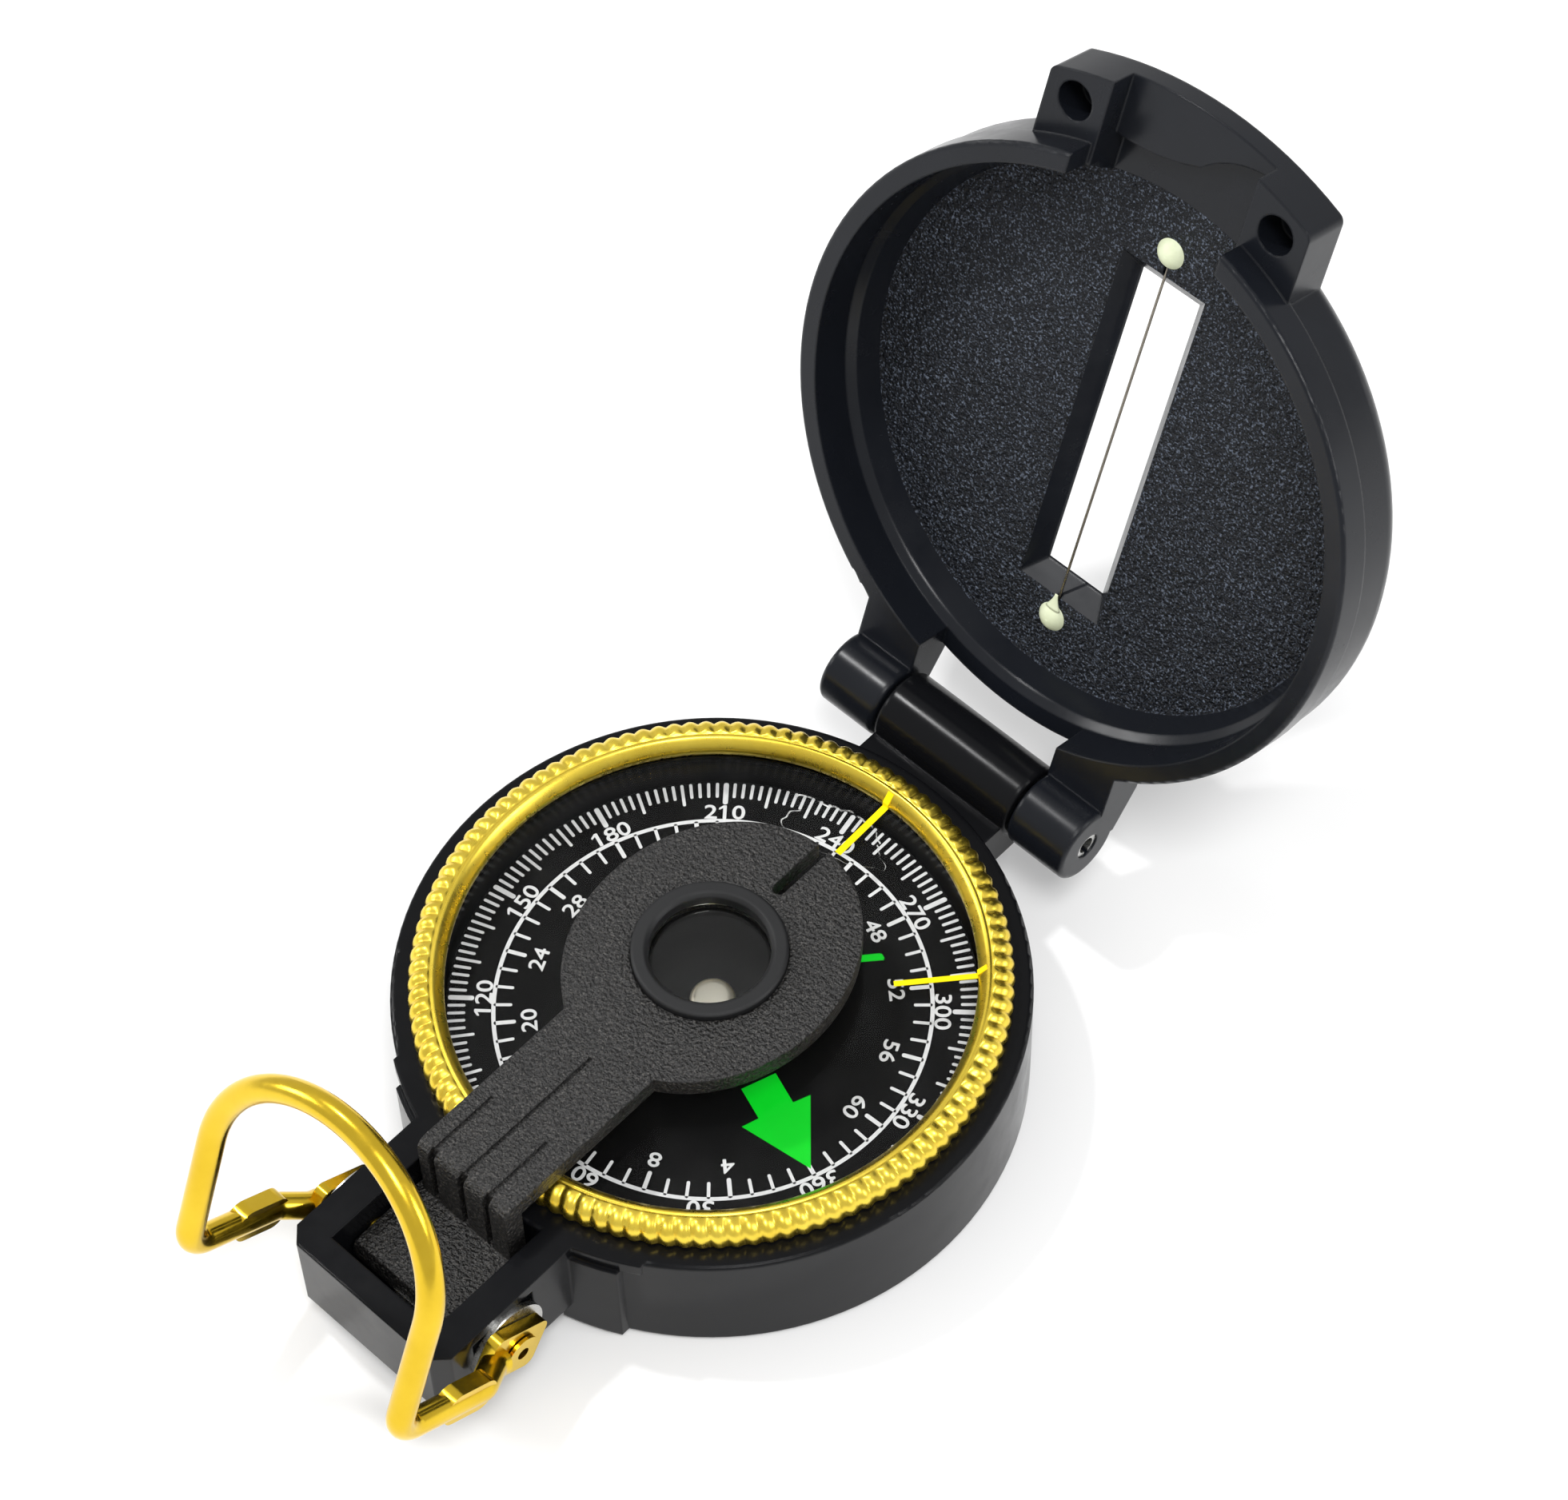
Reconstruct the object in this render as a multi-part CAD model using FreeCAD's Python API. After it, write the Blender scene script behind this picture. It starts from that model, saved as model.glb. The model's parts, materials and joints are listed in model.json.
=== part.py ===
import FreeCAD, Part
import math
import os
from FreeCAD import Vector

# Sighting compass.  Millimetres, +Z up.  The origin is the centre of the base's underside, +Y runs from
# the eyepiece to the lid hinge and +X lies along the hinge.  At rest the lid stands open, the eyepiece
# lies folded on the bezel and the thumb loop stands behind the case.

# base case
case_radius = 27.2
case_height = 12.75
case_floor = 1.6
case_edge_chamfer = 0.6
rim_round = 0.35
capsule_clearance = 0.05

# capsule: cup, gasket, window, card and pivot
cup_inner_radius = 23.2
cup_wall = 0.65
cup_floor = 1.1
capsule_drop = 0.15
gasket_thickness = 0.3
capsule_window_thickness = 1.0
card_gap = 0.4
card_thickness = 0.4
card_drop = 2.3
north_angle = -19.3
magnet_length = 12.0
magnet_width = 2.4
magnet_height = 1.4
magnet_offset = 3.6
jewel_radius = 1.85
jewel_height = 2.5
jewel_bore_radius = 0.75
jewel_roof = 0.45
needle_radius = 0.45
needle_tip_length = 1.2
needle_socket = 1.4
post_radius = 1.6
post_height = 2.0
plug_radius = 1.2
plug_circle_radius = 17.0
plug_angle = 35.0
plug_head = 0.25
liquid_gap = 0.1

# bezel ring and its window
bezel_radius = 25.6
bezel_lift = 0.15
bezel_height = 2.5
bezel_running_clearance = 0.08
pane_clearance = 0.03
skirt_gap = 0.25
skirt_wall = 0.85
skirt_depth = 3.4
skirt_end_gap = 0.3
bezel_opening_radius = 22.5
bezel_teeth = 112
bezel_tooth_radius = 0.42
bezel_window_radius = 23.45
bezel_window_thickness = 0.8
bezel_lip = 1.65
bezel_slope_foot = 0.55
bezel_slope = 1.15
line_thickness = 0.08
line_lap = 0.7
spring_wire_radius = 0.25
spring_drop = 1.7
spring_gap_angle = 16.0

# each bearing line: width, angle of its outer end, angle of its inner end, radius of its inner end
bearing_line_sizes = ((0.6, 91.7, 91.7, 16.2), (0.5, 42.8, 39.7, 15.4))

# hinge between case and lid
hinge_stand_off = 4.72
hinge_drop = 0.44
knuckle_radius = 3.56
hinge_half_length = 14.2
centre_knuckle_half = 7.67
knuckle_gap = 0.28
knuckle_round = 0.45
pin_radius = 1.2
pin_wall = 0.4
pin_slit = 0.45
pin_recess = 0.15
pin_running_clearance = 0.05
web_half_width = 7.4
web_height = 4.4
web_drop = 0.65

# lid (sizes are of the closed lid, which is then turned to its open rest angle)
lid_overhang = 1.3
lid_gap = 0.25
lid_depth = 8.65
lid_floor = 1.95
lid_rim_width = 1.84
lid_upper_wall_depth = 3.85
lid_ledge_inset = 2.75
lid_ledge_depth = 4.42
lid_floor_inset = 3.7
lid_outer_step_depth = 3.05
lid_outer_step = 0.25
lid_edge_round = 2.1
lid_open_angle = 109.2
slot_inner_half_width = 4.45
slot_outer_half_width = 3.0
slot_inner_half_length = 17.6
slot_outer_half_length = 15.7
wire_radius = 0.12
wire_groove_width = 0.4
wire_end = 20.2
dot_radius = 1.35
dot_height = 0.75
dot_centres = (-19.8, 19.6)

# latch block on the lid's free edge
latch_half_width = 13.4
latch_stand_out = 5.9
latch_corner_stand_out = 3.2
latch_face_depth = 2.7
latch_top_depth = 7.3
latch_hole_radius = 1.7
latch_hole_x = 10.4
latch_hole_stand_out = 1.5
latch_hole_depth = 3.2
latch_notch_half = 7.4
latch_notch_depth = 5.2
latch_corner_round = 0.9

# the lip's edge: place along the hinge line, and how far it stands outside the lid's rim
latch_lip = ((-7.8, -0.6), (-2.5, -0.1), (1.0, 1.1), (3.2, 2.9), (7.8, 3.9))
rim_gap_half = 7.8
arm_height = 4.5

# box at the rear of the case, eyepiece pivot and thumb loop
box_half_width = 9.0
box_side_wall = 2.93
box_length = 13.8
box_rear_wall = 2.4
box_bottom = 3.6
box_floor = 1.2
box_corner = 1.3
pivot_stand_off = 6.8
pivot_drop = 4.55
rivet_radius = 1.1
rivet_bore = 0.6
rivet_reach = 2.6
rivet_head_radius = 1.7
rivet_head = 0.3
pocket_width = 6.8
pocket_drop = 1.15
pocket_depth = 0.4
washer_radius = 3.8
washer_thickness = 0.5
lug_outer_x = 12.9
lug_stand_out = 0.75
lug_drop = 1.35
lip_outer_x = 14.4
lip_stand_out = 0.35
leaf_half_width = 2.0
leaf_thickness = 0.25
leaf_end_gap = 0.3

# eyepiece
eyepiece_gap = 0.35
eyepiece_thickness = 1.9
head_half_width = 11.6
head_half_length = 13.7
head_centre_y = 0.3
handle_half_width = 5.1
neck_gap = 0.3
neck_length = 1.8
neck_corner_round = 1.1
foot_side_gap = 0.22
foot_radius = 2.9
foot_top = 1.5
rib_lines = ((-3.5, -22.1), (-0.1, -14.0), (2.8, -22.1))
rib_width = 0.35
rib_depth = 0.3
fin_depth = 0.7
lens_radius = 6.0
lens_clearance = 0.05
lens_edge = 0.8
lens_crown = 0.6
lens_lip = 0.7
lens_lip_thickness = 0.4
collar_rim = 0.65
collar_lap = 0.85
collar_proud = 0.7
collar_bevel = 0.35
sight_width = 1.2
sight_start = 8.5

# thumb loop
loop_wire_radius = 1.17
loop_half_width = 12.15
loop_arm_length = 16.9
loop_arm_angle = 148.4
loop_bow_angle = 68.0
loop_leg_length = 12.5
loop_corner_radius = 2.6
loop_joggle_radius = 2.0
eyelet_thickness = 1.1
eyelet_half_width = 2.5
eyelet_front = 2.6
eyelet_back = 3.9
eyelet_round = 0.9
eyelet_gap = 0.1
flat_start = 5.6
flat_end = 11.6
flat_half_width = 1.6
flat_thickness = 1.5
joggle_start = 3.4
joggle_end = 6.2

# sizes that follow from the ones above
card_radius = cup_inner_radius - card_gap
hinge_y = case_radius + hinge_stand_off
hinge_z = case_height - hinge_drop
lid_radius = case_radius + lid_overhang
lid_ledge_radius = lid_radius - lid_ledge_inset
lid_floor_radius = lid_radius - lid_floor_inset
latch_reach = lid_radius + latch_stand_out
latch_corner_y = lid_radius + latch_corner_stand_out
latch_hole_y = lid_radius + latch_hole_stand_out
box_rear = case_radius + box_length
pivot_y = -case_radius - pivot_stand_off
pivot_z = case_height - pivot_drop
pocket_top = case_height - pocket_drop
lug_height = case_height - lug_drop
neck_front = -case_radius - neck_gap
neck_rear = neck_front - neck_length
collar_radius = lens_radius + collar_rim
collar_opening = lens_radius - collar_lap
cup_outer_radius = cup_inner_radius + cup_wall
cavity_radius = cup_outer_radius + capsule_clearance
skirt_inner = cup_outer_radius + skirt_gap
skirt_outer = skirt_inner + skirt_wall
bezel_bore = skirt_outer + bezel_running_clearance
capsule_top = case_height - capsule_drop
gasket_top = capsule_top - capsule_window_thickness
cup_top = gasket_top - gasket_thickness
card_top_z = cup_top - card_drop
card_bottom_z = card_top_z - card_thickness
bezel_bottom = case_height + bezel_lift
skirt_bottom = bezel_bottom - skirt_depth
spring_z = bezel_bottom - spring_drop
bezel_top = bezel_bottom + bezel_height
window_top = bezel_top - bezel_lip
window_bottom = window_top - bezel_window_thickness
lid_rim_z = case_height + lid_gap
lid_rim_inner = lid_radius - lid_rim_width
lid_floor_depth = lid_depth - lid_floor
lid_knuckle_start = centre_knuckle_half + knuckle_gap
eyepiece_bottom = bezel_top + eyepiece_gap
eyepiece_top = eyepiece_bottom + eyepiece_thickness
box_inner_half = box_half_width - box_side_wall
box_inner_rear = box_rear - box_rear_wall
foot_half_width = box_inner_half - foot_side_gap
eyelet_inner = box_half_width + washer_thickness + eyelet_gap
eyelet_outer = eyelet_inner + eyelet_thickness
wire_start_x = eyelet_inner + loop_wire_radius


def save(name, shape):
    shape.exportStep("parts/%s.step" % name)


def box(x0, x1, y0, y1, z0, z1):
    return Part.makeBox(x1 - x0, y1 - y0, z1 - z0, Vector(x0, y0, z0))


def disc(radius, z0, z1, x=0, y=0):
    return Part.makeCylinder(radius, z1 - z0, Vector(x, y, z0))


def ring(inner, outer, z0, z1):
    return disc(outer, z0, z1).cut(disc(inner, z0 - 1, z1 + 1))


def rod_x(radius, x0, x1, y, z):
    return Part.makeCylinder(radius, x1 - x0, Vector(x0, y, z), Vector(1, 0, 0))


def lathe(profile, angle=360):
    """Turns an (r, z) outline about the Z axis."""
    points = [Vector(r, 0, z) for r, z in profile]
    face = Part.Face(Part.makePolygon(points + points[:1]))
    return face.revolve(Vector(0, 0, 0), Vector(0, 0, 1), angle)


def slab_x(outline, x0, x1):
    """Extrudes a (y, z) outline along X."""
    points = [Vector(x0, y, z) for y, z in outline]
    return Part.Face(Part.makePolygon(points + points[:1])).extrude(Vector(x1 - x0, 0, 0))


def mirrored_x(shape):
    return shape.mirror(Vector(0, 0, 0), Vector(1, 0, 0))


def both_sides(shape):
    return shape.fuse(mirrored_x(shape))


def pair(shape):
    return Part.makeCompound([shape, mirrored_x(shape)])


def open_lid(shape):
    """Turns a shape of the closed lid about the hinge to the lid's rest angle."""
    turned = shape.copy()
    turned.rotate(Vector(0, hinge_y, hinge_z), Vector(1, 0, 0), -lid_open_angle)
    return turned


def base_case():
    body = disc(case_radius, 0, case_height)
    bottom_edges = [e for e in body.Edges if e.BoundBox.ZMax < 0.01]
    body = body.makeChamfer(case_edge_chamfer, bottom_edges)
    rim_edges = [e for e in body.Edges if e.BoundBox.ZMin > case_height - 0.01]
    body = body.makeFillet(rim_round, rim_edges)

    rear = box(-box_half_width, box_half_width, -box_rear, 0, box_bottom, case_height)
    corners = [e for e in rear.Edges if e.BoundBox.ZLength > 1 and e.BoundBox.YMax < -box_rear + 0.01]
    rear = rear.makeChamfer(box_corner, corners)
    rear = rear.cut(box(-box_inner_half, box_inner_half, -box_inner_rear, 0,
                        box_bottom + box_floor, case_height + 1))
    pocket = box(box_half_width - pocket_depth, box_half_width + 1, pivot_y - pocket_width / 2,
                 pivot_y + pocket_width / 2, box_bottom - 1, pocket_top)
    rear = rear.cut(both_sides(pocket))
    rear = rear.cut(rod_x(rivet_radius, -box_half_width - 1, box_half_width + 1, pivot_y, pivot_z))

    # thickened wall and short lip either side of the box
    lug = ring(case_radius - 1, case_radius + lug_stand_out, 0, lug_height)
    lug = lug.common(box(box_half_width - 1, lug_outer_x, -2 * case_radius, 0, case_edge_chamfer, case_height))
    lip = ring(case_radius - 1, case_radius + lip_stand_out, lug_height, case_height)
    lip = lip.common(box(box_half_width - 1, lip_outer_x, -2 * case_radius, 0, 0, case_height))

    # web and middle knuckle of the lid hinge
    web_top = case_height - web_drop
    web = box(-web_half_width, web_half_width, case_radius - 4, hinge_y, web_top - web_height, web_top)
    knuckle = rod_x(knuckle_radius, -centre_knuckle_half, centre_knuckle_half, hinge_y, hinge_z)
    knuckle = knuckle.makeFillet(knuckle_round, [e for e in knuckle.Edges if e.BoundBox.XLength < 0.01])

    body = body.multiFuse([rear, both_sides(lug), both_sides(lip), web, knuckle]).removeSplitter()

    # seat of the capsule, bore for the bezel's skirt and groove for the spring that holds it
    body = body.cut(disc(cavity_radius, case_floor, case_height + 1))
    body = body.cut(disc(bezel_bore, skirt_bottom - skirt_end_gap, case_height + 1))
    body = body.cut(ring(bezel_bore - 1, bezel_bore + spring_wire_radius,
                         spring_z - spring_wire_radius, spring_z + spring_wire_radius))
    return body.cut(rod_x(pin_radius, -hinge_half_length, hinge_half_length, hinge_y, hinge_z))


def retaining_spring():
    section = Part.Wire(Part.makeCircle(spring_wire_radius, Vector(bezel_bore, 0, spring_z),
                                        Vector(0, 1, 0)))
    return Part.Face(section).revolve(Vector(0, 0, 0), Vector(0, 0, 1), 360 - spring_gap_angle)


def hinge_pin():
    pin_half = hinge_half_length - pin_recess
    tube = rod_x(pin_radius, -pin_half, pin_half, hinge_y, hinge_z)
    tube = tube.cut(rod_x(pin_radius - pin_wall, -pin_half - 1, pin_half + 1, hinge_y, hinge_z))
    slit = box(-pin_half - 1, pin_half + 1, hinge_y - pin_slit / 2, hinge_y + pin_slit / 2,
               hinge_z - 2 * pin_radius, hinge_z)
    return tube.cut(slit)


def slope_z(radius):
    """Height of the bezel's inner slope, which rises outwards above the window."""
    return window_top + bezel_slope_foot + bezel_slope * (radius - bezel_opening_radius)


def bezel_ring():
    ledge = bezel_opening_radius + line_lap
    profile = [
        (skirt_inner, skirt_bottom),
        (skirt_outer, skirt_bottom),
        (skirt_outer, bezel_bottom),
        (bezel_radius - 0.35, bezel_bottom),
        (bezel_radius, bezel_bottom + 0.5),
        (bezel_radius, bezel_bottom + 1.4),
        (bezel_radius - 0.5, bezel_top - 0.4),
        (bezel_radius - 1.2, bezel_top),
        (bezel_radius - 1.9, bezel_top),
        (ledge + 0.45, bezel_top - 0.2),
        (ledge + 0.35, slope_z(ledge)),
        (ledge, slope_z(ledge)),
        (bezel_opening_radius, slope_z(bezel_opening_radius)),
        (bezel_opening_radius, window_top),
        (bezel_window_radius, window_top),
        (bezel_window_radius, window_bottom - 0.1),
        (skirt_inner, window_bottom - 0.1),
    ]
    body = lathe(profile)

    # grip: one sloping groove, repeated round the ring
    foot = Vector(bezel_radius + 0.3, 0, bezel_bottom - 0.2)
    head = Vector(bezel_radius - 1.1, 0, bezel_top + 0.35)
    groove = Part.makeCylinder(bezel_tooth_radius, (head - foot).Length, foot, head - foot)
    cutters = []
    for tooth in range(bezel_teeth):
        cutter = groove.copy()
        cutter.rotate(Vector(0, 0, 0), Vector(0, 0, 1), (tooth + 0.5) * 360.0 / bezel_teeth)
        cutters.append(cutter)
    body = body.cut(Part.makeCompound(cutters))

    # index dimple beside the outer end of the first line, and room for the spring
    dimple = Part.makeSphere(0.5, Vector(0, ledge + 0.8, bezel_top + 0.15))
    dimple.rotate(Vector(0, 0, 0), Vector(0, 0, 1), bearing_line_sizes[0][1] - 90)
    spring_room = spring_wire_radius + bezel_running_clearance
    groove = ring(bezel_bore - spring_room, bezel_bore + 1, spring_z - spring_room, spring_z + spring_room)
    return body.cut(dimple).cut(groove)


def bezel_window():
    return disc(bezel_window_radius - pane_clearance, window_bottom, window_top)


def bearing_line(width, outer_angle, inner_angle, inner_radius):
    """A strip on the window whose outer end laps up onto the bezel's slope."""
    edge = bezel_opening_radius
    end = edge + line_lap
    outer = Vector(end * math.cos(math.radians(outer_angle)), end * math.sin(math.radians(outer_angle)), 0)
    inner = Vector(inner_radius * math.cos(math.radians(inner_angle)),
                   inner_radius * math.sin(math.radians(inner_angle)), 0)
    run = inner - outer
    # distances along the strip, measured inwards from its outer end
    wall = line_lap / math.cos(run.getAngle(-outer))
    outline = [
        (0, slope_z(end)), (wall, slope_z(edge)), (wall, window_top), (run.Length, window_top),
        (run.Length, window_top + line_thickness), (wall + line_thickness, window_top + line_thickness),
        (wall + line_thickness, slope_z(edge) + line_thickness), (0, slope_z(end) + line_thickness),
    ]
    strip = slab_x(outline, -width / 2, width / 2)
    strip.rotate(Vector(0, 0, 0), Vector(0, 0, 1), math.degrees(math.atan2(run.y, run.x)) - 90)
    strip.translate(outer)
    return strip.cut(bezel_ring_blank())


def bezel_ring_blank():
    """The solid of the bezel under a bearing line, without its grip."""
    edge = bezel_opening_radius
    end = edge + line_lap + 1
    return lathe([(edge, window_top), (end, window_top), (end, slope_z(end)), (edge, slope_z(edge))])


def capsule_cup():
    cup = disc(cup_outer_radius, case_floor, cup_top)
    cup = cup.cut(disc(cup_inner_radius, case_floor + cup_floor, cup_top + 1))
    return cup.cut(disc(plug_radius, 0, case_floor + cup_floor + 1, *plug_place()))


def plug_place():
    angle = math.radians(plug_angle)
    return plug_circle_radius * math.cos(angle), plug_circle_radius * math.sin(angle)


def fill_plug():
    x, y = plug_place()
    floor_top = case_floor + cup_floor
    stem = disc(plug_radius, case_floor, floor_top, x, y)
    return stem.fuse(disc(plug_radius + 0.4, floor_top, floor_top + plug_head, x, y))


def jewel_cap():
    bottom = card_bottom_z - 0.2
    top = bottom + jewel_height
    body = disc(jewel_radius, bottom, top)
    top_edge = [e for e in body.Edges if e.BoundBox.ZMin > top - 0.01]
    body = body.makeFillet(0.7, top_edge)
    return body.cut(disc(jewel_bore_radius, bottom - 1, top - jewel_roof))


def pivot_needle():
    tip = card_bottom_z - 0.2 + jewel_height - jewel_roof - 0.05
    start = case_floor + cup_floor + post_height - needle_socket
    shank_end = tip - needle_tip_length
    shank = disc(needle_radius, start, shank_end)
    cone = Part.makeCone(needle_radius, 0.06, needle_tip_length, Vector(0, 0, shank_end))
    return shank.fuse(cone).removeSplitter()


def pivot_post():
    floor_top = case_floor + cup_floor
    post = disc(post_radius, floor_top, floor_top + post_height)
    top_edge = [e for e in post.Edges if e.BoundBox.ZMin > floor_top + post_height - 0.01]
    post = post.makeChamfer(0.4, top_edge)
    return post.cut(disc(needle_radius, floor_top + post_height - needle_socket, floor_top + post_height + 1))


def card():
    return disc(card_radius, card_bottom_z, card_top_z).cut(disc(jewel_radius, 0, case_height))


def magnets():
    bar = box(-magnet_length / 2, magnet_length / 2, magnet_offset - magnet_width / 2,
              magnet_offset + magnet_width / 2, card_bottom_z - magnet_height, card_bottom_z)
    other = bar.mirror(Vector(0, 0, 0), Vector(0, 1, 0))
    bars = Part.makeCompound([bar, other])
    bars.rotate(Vector(0, 0, 0), Vector(0, 0, 1), north_angle)
    return bars


def damping_liquid():
    floor_top = case_floor + cup_floor
    liquid = disc(cup_inner_radius, floor_top, cup_top)
    magnet_reach = math.hypot(magnet_length / 2, magnet_offset + magnet_width / 2)
    liquid = liquid.cut(disc(card_radius + liquid_gap, card_bottom_z - liquid_gap, card_top_z + liquid_gap))
    liquid = liquid.cut(disc(magnet_reach + liquid_gap, card_bottom_z - magnet_height - liquid_gap,
                             card_bottom_z))
    liquid = liquid.cut(disc(jewel_radius + liquid_gap, card_bottom_z - 0.2 - liquid_gap,
                             card_bottom_z - 0.2 + jewel_height + liquid_gap))
    x, y = plug_place()
    plug_top = floor_top + plug_head
    liquid = liquid.cut(disc(plug_radius + 0.4, floor_top - 1, plug_top, x, y))
    return liquid.cut(disc(post_radius, 0, floor_top + post_height)).cut(disc(needle_radius, 0, card_top_z))


def lid_inside():
    """The hollow of the closed lid, from its rim to its textured floor."""
    z = lid_rim_z
    return lathe([
        (0, z - 10), (lid_rim_inner, z - 10), (lid_rim_inner, z),
        (lid_rim_inner - 0.2, z + lid_upper_wall_depth),
        (lid_ledge_radius, z + lid_ledge_depth),
        (lid_floor_radius, z + lid_floor_depth),
        (0, z + lid_floor_depth),
    ])


def lid_shell():
    z = lid_rim_z
    step = z + lid_outer_step_depth
    body = disc(lid_radius, z, step)
    body = body.makeFillet(rim_round, [e for e in body.Edges if e.BoundBox.ZMax < z + 0.01])
    upper = disc(lid_radius - lid_outer_step, step, z + lid_depth)
    top_edge = [e for e in upper.Edges if e.BoundBox.ZMin > z + lid_depth - 0.01]
    return body.fuse(upper.makeFillet(lid_edge_round, top_edge))


def latch_block():
    """Curved block on the lid's free edge, before its notch and holes."""
    sagitta = latch_reach - latch_corner_y
    arc_radius = (latch_half_width ** 2 + sagitta ** 2) / (2 * sagitta)
    z0 = lid_rim_z + latch_face_depth
    z1 = lid_rim_z + latch_top_depth
    block = disc(arc_radius, z0, z1, 0, arc_radius - latch_reach)
    block = block.common(box(-latch_half_width, latch_half_width, -latch_reach - 1, -case_radius / 2, z0, z1))
    corners = [e for e in block.Edges if e.BoundBox.ZLength > 1 and e.BoundBox.YMax < -latch_corner_y + 0.1]
    return block.makeFillet(latch_corner_round, corners)


def latch_lip_solid(z0, z1):
    """The middle of the block that stays beyond its wavy inner edge, made of two arcs."""
    points = [Vector(x, -lid_radius - out, z0) for x, out in latch_lip]
    far_right = Vector(latch_lip[-1][0], -latch_reach - 1, z0)
    far_left = Vector(latch_lip[0][0], -latch_reach - 1, z0)
    edges = [Part.Arc(*points[:3]).toShape(), Part.Arc(*points[2:]).toShape(),
             Part.LineSegment(points[-1], far_right).toShape(),
             Part.LineSegment(far_right, far_left).toShape(),
             Part.LineSegment(far_left, points[0]).toShape()]
    return Part.Face(Part.Wire(edges)).extrude(Vector(0, 0, z1 - z0))


def latch_cuts():
    z = lid_rim_z
    face = z + latch_face_depth
    # the rim's lower wall is open in front of the block, and the block's middle is cut deeper
    rim_gap = box(-rim_gap_half, rim_gap_half, -latch_reach - 1, 0, z - 1, face)
    notch = box(-latch_notch_half, latch_notch_half, -latch_reach - 1, 0, z - 1, z + latch_notch_depth)
    well = box(-latch_notch_half, latch_notch_half, -latch_reach, 0, z - 1, z + lid_floor_depth)
    well = well.cut(latch_lip_solid(z - 2, z + lid_depth))
    hole = disc(latch_hole_radius, face - 1, face + latch_hole_depth, latch_hole_x, -latch_hole_y)
    return [rim_gap, notch, well, both_sides(hole)]


def hinge_arm():
    z = lid_rim_z
    outline = [
        (case_radius - 4, z), (hinge_y, z), (hinge_y, hinge_z + knuckle_radius),
        (case_radius + 0.5, z + arm_height), (case_radius - 4, z + arm_height),
    ]
    return slab_x(outline, lid_knuckle_start, hinge_half_length)


def lid_cover():
    z = lid_rim_z
    body = lid_shell().fuse(latch_block()).fuse(both_sides(hinge_arm()))
    body = body.cut(lid_inside())
    knuckle = rod_x(knuckle_radius, lid_knuckle_start, hinge_half_length, hinge_y, hinge_z)
    ends = [e for e in knuckle.Edges if e.BoundBox.XLength < 0.01]
    knuckle = knuckle.makeFillet(knuckle_round, ends)
    body = body.fuse(both_sides(knuckle)).removeSplitter()
    # room for the middle knuckle between the arms
    body = body.cut(box(-lid_knuckle_start, lid_knuckle_start, 0, hinge_y, z - 1, z + lid_upper_wall_depth))
    body = body.cut(Part.makeCompound(latch_cuts()))

    # sight slot with sloping walls, and the groove that the wire's ends lie in
    slot = Part.makeLoft([
        slot_outline(slot_inner_half_width, slot_inner_half_length, z + lid_floor_depth),
        slot_outline(slot_outer_half_width, slot_outer_half_length, z + lid_depth),
    ], True, True)
    body = body.cut(slot)
    body = body.cut(box(-wire_groove_width / 2, wire_groove_width / 2, -wire_end, wire_end,
                        z + lid_floor_depth - 1, wire_z() + wire_radius))
    bore = rod_x(pin_radius + pin_running_clearance, -hinge_half_length - 1, hinge_half_length + 1,
                 hinge_y, hinge_z)
    return open_lid(body.cut(bore))


def slot_outline(half_width, half_length, z):
    corners = [Vector(-half_width, -half_length, z), Vector(half_width, -half_length, z),
               Vector(half_width, half_length, z), Vector(-half_width, half_length, z)]
    return Part.makePolygon(corners + corners[:1])


def wire_z():
    return lid_rim_z + lid_floor_depth + 0.3


def sight_wire():
    wire = Part.makeCylinder(wire_radius, 2 * wire_end - 0.2, Vector(0, -wire_end + 0.1, wire_z()),
                             Vector(0, 1, 0))
    return open_lid(wire)


def wire_dots():
    """Domed drops of luminous glue that hold the ends of the wire."""
    surface = lid_rim_z + lid_floor_depth
    sphere_radius = (dot_radius ** 2 + dot_height ** 2) / (2 * dot_height)
    dots = []
    for y in dot_centres:
        ball = Part.makeSphere(sphere_radius, Vector(0, y, surface - dot_height + sphere_radius))
        dots.append(ball.common(box(-5, 5, y - 5, y + 5, surface - 5, surface)))
    return open_lid(Part.makeCompound(dots))


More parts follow.
